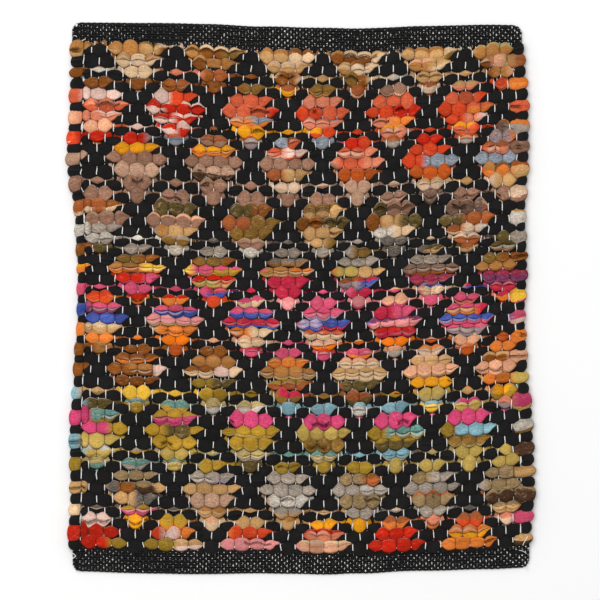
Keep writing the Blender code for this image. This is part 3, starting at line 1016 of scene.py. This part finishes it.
def dyedRagMaterial(knit):
    # tie-dye: each pleat of the strip took its own dye, with streaks along it and paler raw edges; the pleat
    # lips also get a painted highlight, and the creases, lower side and tie-downs painted shade
    material, tree, shader = newMaterial("dyedRag", 0.92, 0.1, 0.0)
    place = put(tree, "ShaderNodeTexCoord").outputs["Object"]
    value = {name: painted(tree, name) for name in
             ("side", "crease", "lip", "band", "turn", "row", "tone", "marl", "pressedDown")}
    wavering = {"Vector": place, "Scale": dyeing["raggedScale"], "Detail": 2.0}
    ragged = put(tree, "ShaderNodeTexNoise", wavering).outputs[0]
    ragged = maths(tree, "MULTIPLY_ADD", ragged, dyeing["ragged"], -dyeing["ragged"] / 2)
    # the dyes ran into each other in streaks along the strip, and marled yarn shows more of it
    apart = put(tree, "ShaderNodeSeparateXYZ", {0: place}).outputs
    streaks = []
    for along, around in dyeing["streaks"]:
        grain = put(tree, "ShaderNodeCombineXYZ", {
            "X": maths(tree, "MULTIPLY", apart[0], along),
            "Y": maths(tree, "MULTIPLY", value["turn"], around),
            "Z": maths(tree, "MULTIPLY", value["row"], dyeing["rowStep"]),
        }).outputs[0]
        streak = {"Vector": grain, "Scale": 1.0, "Detail": 4.0, "Roughness": 0.65}
        streaks.append(put(tree, "ShaderNodeTexNoise", streak).outputs[0])
    broad, fine = streaks
    spot = maths(tree, "ADD", value["band"], ragged)
    spot = maths(tree, "MULTIPLY_ADD", maths(tree, "SUBTRACT", broad, 0.5), dyeing["running"], spot)
    upper, middle, lower = [painted(tree, "dye" + part, "Color") for part in ("Upper", "Middle", "Lower")]
    colour = mixed(tree, ranged(tree, spot, *dyeing["upperDye"]), upper, middle)
    colour = mixed(tree, ranged(tree, spot, *dyeing["lowerDye"]), colour, lower)
    paler = maths(tree, "MULTIPLY", ranged(tree, broad, *dyeing["palerStreak"]), value["marl"])
    deeper = maths(tree, "MULTIPLY", ranged(tree, broad, *dyeing["deeperStreak"]), value["marl"])
    colour = mixed(tree, paler, colour, dyeing["palerYarn"])
    colour = mixed(tree, deeper, colour, scaled(tree, colour, dyeing["deeper"]))
    marled = maths(tree, "MULTIPLY", maths(tree, "SUBTRACT", fine, 0.5), value["marl"])
    marled = maths(tree, "MULTIPLY_ADD", marled, dyeing["marl"], 1.0)
    colour = scaled(tree, colour, maths(tree, "MAXIMUM", marled, dyeing["leastMarl"]))
    colour = scaled(tree, colour, value["tone"])
    upperEdge = maths(tree, "MULTIPLY_ADD", ragged, 0.5, value["side"])
    rim = maths(tree, "MULTIPLY", ranged(tree, upperEdge, *dyeing["rim"]), value["marl"])
    colour = mixed(tree, rim, colour, dyeing["rimYarn"])
    # painted highlight on the raised edges of the pleats, partly their paler raw edge
    colour = mixed(tree, ranged(tree, value["lip"], *dyeing["lip"]), colour, dyeing["lipYarnAndHighlight"])
    # painted shade: darker in the creases, on the side that faces the next row, and where the strip is tied
    # down
    colour = scaled(tree, colour, ranged(tree, value["crease"], *dyeing["crease"]))
    # painted shade on the lower side, towards the next row
    colour = scaled(tree, colour, ranged(tree, value["side"], *dyeing["undersideShade"]))
    # painted shade at the tie-down pinches, slightly lighter on the pillow crowns
    colour = scaled(tree, colour, ranged(tree, value["pressedDown"], *dyeing["tiedDownShade"]))
    stitch = put(tree, "ShaderNodeGroup", {}, node_tree=knit)
    stitch.inputs["Stitches"].default_value = dyeing["stitches"]
    # painted shade in the gaps between stitches and painted highlight on them, with the fuzz of the yarn
    colour = scaled(tree, colour, stitch.outputs["Shade"])
    tree.links.new(colour, shader.inputs["Base Color"])
    bumped(tree, shader, stitch.outputs["Height"], *dyeing["relief"])
    return material


blackDye = {
    "deep": (0.0105, 0.0095, 0.0092, 1.0),
    "faded": (0.0175, 0.0165, 0.0165, 1.0),
    "fadeScale": 60.0,
    "fade": (0.35, 0.75),
    "relief": (0.3, 0.45),
}


def blackRagMaterial(knit):
    material, tree, shader = newMaterial("blackRag", 0.9, 0.1, 0.03)
    place = put(tree, "ShaderNodeTexCoord").outputs["Object"]
    fading = {"Vector": place, "Scale": blackDye["fadeScale"], "Detail": 4.0}
    fade = put(tree, "ShaderNodeTexNoise", fading).outputs[0]
    low, high = blackDye["fade"]
    fade = put(tree, "ShaderNodeMapRange", {"Value": fade, "From Min": low, "From Max": high}).outputs[0]
    colour = mixed(tree, fade, blackDye["deep"], blackDye["faded"])
    stitch = put(tree, "ShaderNodeGroup", {}, node_tree=knit)
    # painted shade in the gaps between stitches and painted highlight on them, with the fuzz of the yarn
    colour = scaled(tree, colour, stitch.outputs["Shade"])
    tree.links.new(colour, shader.inputs["Base Color"])
    bumped(tree, shader, stitch.outputs["Height"], *blackDye["relief"])
    return material


# The two threads: colours between the plies and on them, as painted shade in the grooves and painted
# highlight on the plies, how tightly they are plied, and how they shine.
spinning = {
    "warpCotton": {
        "dark": (0.86, 0.84, 0.8, 1.0),
        "light": (1.0, 0.99, 0.97, 1.0),
        "plies": 4200.0,
        "roughness": 0.85,
        "specular": 0.2,
    },
    "hemYarn": {
        "dark": (0.006, 0.006, 0.006, 1.0),
        "light": (0.02, 0.019, 0.019, 1.0),
        "plies": 3000.0,
        "roughness": 0.9,
        "specular": 0.1,
    },
    "grainScale": 700.0,
    "plyShare": 0.6,  # how much of the shade comes from the plies
    "grainShare": 0.5,
    "relief": (0.15, 0.6),
}


def threadMaterial(name):
    # a plied thread: slanted plies from how far along and how far round a point is, painted darker between
    # the plies and lighter on them, with a random grain
    yarn = spinning[name]
    material, tree, shader = newMaterial(name, yarn["roughness"], yarn["specular"], 0.0)
    slant = maths(tree, "MULTIPLY_ADD", painted(tree, "along"), yarn["plies"], painted(tree, "turn"))
    ply = maths(tree, "MULTIPLY_ADD", maths(tree, "COSINE", slant), 0.5, 0.5)
    place = put(tree, "ShaderNodeTexCoord").outputs["Object"]
    grain = put(tree, "ShaderNodeTexNoise", {"Vector": place, "Scale": spinning["grainScale"],
                                                "Detail": 2.0}).outputs[0]
    grain = maths(tree, "MULTIPLY", grain, spinning["grainShare"])
    shade = maths(tree, "MULTIPLY_ADD", ply, spinning["plyShare"], grain)
    # painted shade between the plies and painted highlight on them, with the grain of the cotton
    tree.links.new(mixed(tree, shade, yarn["dark"], yarn["light"]), shader.inputs["Base Color"])
    bumped(tree, shader, ply, *spinning["relief"])
    return material


knit = knitGroup()
finishes = {
    "dyed": dyedRagMaterial(knit),
    "black": blackRagMaterial(knit),
    "warp": threadMaterial("warpCotton"),
    "hem": threadMaterial("hemYarn"),
}
print("finishes mixed:", len(finishes))

sweepRags = ragTree()
spinThreads = threadTree()


def sweepRag(name, lines, kind):
    upperPleat, lowerPleat = rags[kind]["pleatCorners"]
    return sweep(name, lines, sweepRags, **{
        "Sides": rags[kind]["sides"], "Upper Pleat": upperPleat, "Lower Pleat": lowerPleat,
        "Crowding": lay["crowding"], "Lip": lay["lip"], "Cloth": finishes[kind]})


def spin(name, lines, sides, radius, finish):
    return sweep(name, lines, spinThreads, **{
        "Sides": sides, "Radius": radius * mm, "Cloth": finishes[finish]})


dyedPieces = []
rowsPerPiece = (lastRow + 1) // 3 + 1
for index, letter in enumerate("ABC"):
    rows = paths["dyed"][index * rowsPerPiece : (index + 1) * rowsPerPiece]
    dyedPieces.append(sweepRag("dyedRag" + letter, rows, "dyed"))
blackPiece = sweepRag("blackRag", paths["black"], "black")

# The tie-down ends press on the rags of every second row and pass under the rest.
ties = {
    "radius": 0.54,
    "sides": 6,
    "reach": 2.5,  # half the length of a dash
    "proud": 0.5,
    "bowed": 0.15,
    "stray": 0.3,
    "sunkInDyed": 1.6,
    "pairGap": 0.42,  # from the outermost end to its twin, in ends
    "hiddenBySides": 0.6,  # the share of the dashes beside the turns that the rags cover
    "sunkBySides": 2.6,
}


def tieLine(end, shift=0.0):
    luck = np.random.default_rng(9000 + int(end * 10) + int(shift * 100))
    points = []
    for row in range(lastRow + 1):
        x = float(endX(end + shift, row)) + ties["stray"] * luck.normal()
        middle = float(rowY(row, x))
        spots = {}
        for kind in rags:
            path = paths[kind][row]
            spots[kind] = [np.interp(end, path["places"], path[key]) for key in ("y", "z", "halfDepth")]
        top = max(spots, key=lambda kind: spots[kind][1] + spots[kind][2])
        bottom = min(spot[1] - spot[2] for spot in spots.values())
        lean = ties["stray"] * luck.normal()
        hidden = end in (firstEnd, lastEnd) and luck.uniform() < ties["hiddenBySides"]
        if (end - row) % 2 == 0:
            y, z, deep = spots[top]
            betweenDyed = firstEnd < end < lastEnd and isDyed(row, end - 1) and isDyed(row, end + 1)
            z = z + deep + ties["proud"] - (ties["sunkInDyed"] if betweenDyed else 0.0)
            z -= ties["sunkBySides"] if hidden else 0.0
            y = (y + middle) / 2
        else:
            z = bottom - ties["proud"]
            y = middle
        points += [
            (x - lean, y + ties["reach"], z),
            (x, y, z + ties["bowed"]),
            (x + lean, y - ties["reach"], z),
        ]
        if row < lastRow:
            points.append((x, (middle + float(rowY(row + 1, x))) / 2, middleZ))
    x, y, z = np.array(points).T
    return {"x": x, "y": y, "z": np.maximum(z, ties["radius"])}


tieLines = [tieLine(end) for end in range(firstEnd, lastEnd + 1)]
tieLines += [tieLine(firstEnd, -ties["pairGap"]), tieLine(lastEnd, ties["pairGap"])]
tiePiece = spin("tieDownEnds", tieLines, ties["sides"], ties["radius"], "warp")

# The main ends lie between the two layers and show only in gaps, and where they leave the far hem.
mains = {
    "radius": 0.55,
    "sides": 4,
    "stray": 0.4,
    "sunk": 0.5,
    "uneven": 0.5,
    "hemRise": [(8.5, 4.0), (5.6, 8.4), (3.0, 8.2)],  # beyond the first row: how far out, how high
}


def mainLine(end):
    luck = np.random.default_rng(9500 + int(end * 10))
    rows = np.arange(lastRow + 1)
    x = np.array([float(endX(end, row)) for row in rows]) + mains["stray"] * luck.normal(size=len(rows))
    y = np.array([float(rowY(row, place)) for row, place in zip(rows, x)])
    z = middleZ - mains["sunk"] + mains["uneven"] * luck.normal(size=len(rows))
    rise = np.array(mains["hemRise"])
    x = np.concatenate((np.full(len(rise), x[0]), x))
    return {"x": x, "y": np.concatenate((y[0] + rise[:, 0], y)), "z": np.concatenate((rise[:, 1], z))}


mainLines = [mainLine(end + 0.5) for end in range(firstEnd, lastEnd)]
mainPiece = spin("mainEnds", mainLines, mains["sides"], mains["radius"], "warp")

# The hems: fine black weft on every end of the warp, turned under.
hem = {
    "farSides": (-243.3, 235.2),
    "nearSides": (-242.8, 243.2),
    "cornerRadius": 9.0,
    "foldRadius": 1.0,
    "depth": 28.0,  # from the fold to the field
    "under": 24.0,  # how deep it is turned under
    "rise": 2.6,  # how far it climbs to the field
    "riseFrom": 18.0,
    "riseTo": 27.0,
    "yarn": 1.4,
    "yarnSides": 6,
    "pitch": 2.9,
    "wave": 0.3,
    "sway": 0.25,
    "swayStep": 25,
    "yarnInset": 0.9,  # from the cloth's side to the tip of a yarn
    "yarnClear": 0.8,  # the same to its first wave
    "yarnBend": 0.6,  # how much later a yarn follows the rounded corner
    "endSpacing": 3.2,
    "endInset": 1.8,
    "endRadius": 0.85,
    "endSides": 3,
    "dot": 0.72,  # half the length of the part of an end that comes up
    "dotDepth": 1.4,
    "dotSunk": 0.52,  # how much lower than a yarn's top its middle runs
    "dotBack": 0.2,  # how much less deep an end goes down between two dots
    "cornerShow": 0.6,  # the share of the rounded corner that an end keeps clear of
    "uneven": 0.22,
    "slowUneven": 0.25,
    "slowUnevenStep": 22,
    "stray": 0.2,
    "proud": [  # x, then how much further the dots stand out there in the far and in the near hem
        (-240.0, -0.3, -0.2),
        (-180.0, -0.35, -0.3),
        (-100.0, -0.4, -0.15),
        (0.0, 0.05, 0.15),
        (60.0, -0.15, 0.1),
        (130.0, -0.1, 0.05),
        (230.0, 0.2, 0.2),
    ],
}


def foldPoint(hemSide, x, along, out):
    # a point of the turned band: along is the way over the cloth from the fold, above zero on the face
    bend = hem["foldRadius"]
    angle = np.clip(along / bend, -math.pi / 2, math.pi / 2)
    straight = np.maximum(np.abs(along) - bend * math.pi / 2, 0)
    inset = hem["yarn"] + bend * (1 - np.cos(angle)) + straight - out * np.cos(angle)
    z = hem["yarn"] + bend * (1 + np.sin(angle)) + out * np.sin(angle)
    z = z + np.where(along > 0, hem["rise"] * smooth(hem["riseFrom"], hem["riseTo"], inset), 0)
    column, outwards = (1, 1) if hemSide == "far" else (2, -1)
    y = eased(cloth["hemEdges"], column, x) - outwards * inset
    return y, z


def hemSideX(hemSide, inset):
    # the two sides of a hem, which round off towards the fold
    left, right = hem[hemSide + "Sides"]
    radius = hem["cornerRadius"]
    missing = radius - np.sqrt(np.maximum(radius ** 2 - np.maximum(radius - inset, 0) ** 2, 0))
    return left + missing, right - missing


def hemEnds(hemSide):
    # where the warp ends of a hem lie
    left, right = hem[hemSide + "Sides"]
    count = int((right - left - 2 * hem["yarn"]) / hem["endSpacing"])
    return np.linspace(left + hem["endInset"], right - hem["endInset"], count + 1)


def hemWeft(hemSide, number, along):
    # one yarn across a hem, which waves over and under the ends
    ends = hemEnds(hemSide)
    low, high = hemSideX(hemSide, max(abs(along) - hem["yarnBend"], 0))
    x = np.linspace(ends[0], ends[-1], 2 * len(ends) - 1)
    over = np.cos(math.pi * (np.arange(len(x)) / 2 + number))  # 1 where the end passes over
    keep = (x > low + hem["yarnClear"]) & (x < high - hem["yarnClear"])
    x = np.concatenate(([low + hem["yarnInset"]], x[keep], [high - hem["yarnInset"]]))
    wave = np.concatenate(([0.0], -hem["wave"] * over[keep], [0.0]))
    sway = hem["sway"] * slowNoise(x + 400, hem["swayStep"], 500 + number)
    y, z = foldPoint(hemSide, x, along + sway, wave)
    return {"x": x, "y": y, "z": np.maximum(z, hem["yarn"] + 0.1)}


def hemThread(hemSide, number, x, wefts, luck):
    # one end through a hem, which comes up over every second yarn as a white dot
    left, right = hem[hemSide + "Sides"]
    cornerGap = hem["cornerRadius"] - min(x - left, right - x)
    over = np.cos(math.pi * (number + np.arange(len(wefts))))
    uneven = slowNoise(x + 400 + wefts * 1.3, hem["slowUnevenStep"], 77)
    proud = hem["slowUneven"] * uneven + hem["uneven"] * luck.normal(size=len(wefts))
    proud = proud + eased(hem["proud"], 1 if hemSide == "far" else 2, x)
    out = np.where(over > 0, hem["yarn"] - hem["dotSunk"] + proud, -hem["yarn"] + hem["dotBack"])
    place = np.repeat(x + hem["stray"] * luck.normal(size=len(wefts)), 3)
    beside = hem["dot"] * np.array((-1, 0, 1))
    along = (wefts[:, None] + hem["stray"] * luck.normal(size=(len(wefts), 1)) + beside).ravel()
    out = (out[:, None] - np.where(over[:, None] > 0, hem["dotDepth"], 0) * (beside != 0)).ravel()
    shown = (along > 0) & (np.repeat(over, 3) > 0) | (np.tile(beside, len(wefts)) == 0)
    kept = shown & (np.abs(along) > max(cornerGap * hem["cornerShow"], 0))
    y, z = foldPoint(hemSide, place, along, out)
    return {"x": place[kept], "y": y[kept], "z": np.maximum(z[kept], hem["endRadius"])}


hemPieces = []
for hemSide in ("far", "near"):
    luck = np.random.default_rng(11 if hemSide == "far" else 12)
    wefts = np.arange(-hem["under"], hem["depth"], hem["pitch"])
    yarns = [hemWeft(hemSide, number, along) for number, along in enumerate(wefts)]
    threads = [hemThread(hemSide, number, x, wefts, luck) for number, x in enumerate(hemEnds(hemSide))]
    hemPieces.append(spin(hemSide + "HemBand", yarns, hem["yarnSides"], hem["yarn"], "hem"))
    hemPieces.append(spin(hemSide + "HemEnds", threads, hem["endSides"], hem["endRadius"], "warp"))

# Loose ends of the warp cotton at the corners and the left side: radius, then the points along each.
looseEnds = [
    (0.8, [(-240.4, 290.2, 5.6), (-238.8, 291.2, 6.4), (-237.2, 289.9, 6.2), (-238.6, 288.6, 5.6)]),
    (0.3, [(-241.5, 278.2, 5.6), (-239.6, 278.9, 6.6), (-237.2, 277.4, 5.8)]),
    (0.4, [(-237.4, 269.4, 6.6), (-233.6, 271.4, 8.0), (-230.4, 274.2, 7.4), (-228.4, 274.9, 6.0)]),
    (0.45, [(-247.6, 166.2, 8.8), (-245.9, 165.5, 11.0), (-244.2, 166.4, 12.4)]),
    (0.4, [(-242.5, -269.8, 6.4), (-238.5, -273.4, 6.8), (-240.0, -274.6, 6.8), (-243.1, -276.9, 6.0)]),
    (0.4, [(235.4, -262.2, 8.0), (237.0, -258.0, 11.0), (239.2, -254.6, 12.4), (240.4, -252.0, 11.4)]),
    (0.3, [(231.3, -267.2, 6.4), (235.6, -268.0, 7.4), (239.6, -271.0, 6.0)]),
    (0.6, [(239.0, -285.0, 5.4), (240.2, -286.2, 6.0), (239.6, -287.4, 5.2)]),
]


def looseLine(points):
    # a soft curve through the points of a loose end
    at = np.linspace(0, len(points) - 1, 6 * len(points))
    columns = zip("xyz", np.array(points).T)
    return {key: blurred(np.interp(at, range(len(points)), column), 2) for key, column in columns}


loosePieces = []
for letter, (radius, points) in zip("ABCDEFGH", looseEnds):
    loosePieces.append(spin("looseEnd" + letter, [looseLine(points)], 6, radius, "warp"))

# Every piece is cloth of the one rug.
rugPieces = dyedPieces + [blackPiece, tiePiece, mainPiece] + hemPieces + loosePieces
for piece in rugPieces:
    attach(piece, "root")
    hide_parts("rug")

# The studio.
studio = {
    "floorSize": 6.0,
    "floorColour": (0.98, 0.98, 0.98, 1.0),
    "ambient": 0.53,
    "keyPower": 42.0,
    "keyPlace": (-0.5, 0.6, 2.4),
    "keySize": 2.0,
    "cameraPlace": (-0.0008, -0.0018, 4.01),
    "cameraHeight": 4.0,  # above the rug's face
    "frameWidth": 0.636,  # what the camera sees from side to side there
    "sensorWidth": 36.0,
}

floorMesh = bpy.data.meshes.new("floor")
half = studio["floorSize"] / 2
corners = [(-half, -half, 0), (half, -half, 0), (half, half, 0), (-half, half, 0)]
floorMesh.from_pydata(corners, [], [(0, 1, 2, 3)])
floor = bpy.data.objects.new("floor", floorMesh)
bpy.context.scene.collection.objects.link(floor)
floorMaterial, _, floorShader = newMaterial("studioFloor", 0.9, 0.1, 0.0)
floorShader.inputs["Base Color"].default_value = studio["floorColour"]
floorMesh.materials.append(floorMaterial)

world = bpy.data.worlds.new("studio")
world.use_nodes = True
ambient = world.node_tree.nodes["Background"]
ambient.inputs["Color"].default_value = (1.0, 1.0, 1.0, 1.0)
ambient.inputs["Strength"].default_value = studio["ambient"]
bpy.context.scene.world = world

keyData = bpy.data.lights.new("key", "AREA")
keyData.energy = studio["keyPower"]
keyData.size = studio["keySize"]
key = bpy.data.objects.new("key", keyData)
key.location = studio["keyPlace"]
key.rotation_euler = key.location.to_track_quat("Z", "Y").to_euler()  # towards the middle of the rug
bpy.context.scene.collection.objects.link(key)

cameraData = bpy.data.cameras.new("camera")
cameraData.sensor_width = studio["sensorWidth"]
cameraData.lens = studio["sensorWidth"] * studio["cameraHeight"] / studio["frameWidth"]
cameraData.clip_end = 20.0
camera = bpy.data.objects.new("camera", cameraData)
camera.location = studio["cameraPlace"]
bpy.context.scene.collection.objects.link(camera)
bpy.context.scene.camera = camera
bpy.context.scene.view_settings.view_transform = "Standard"
print("studio set")
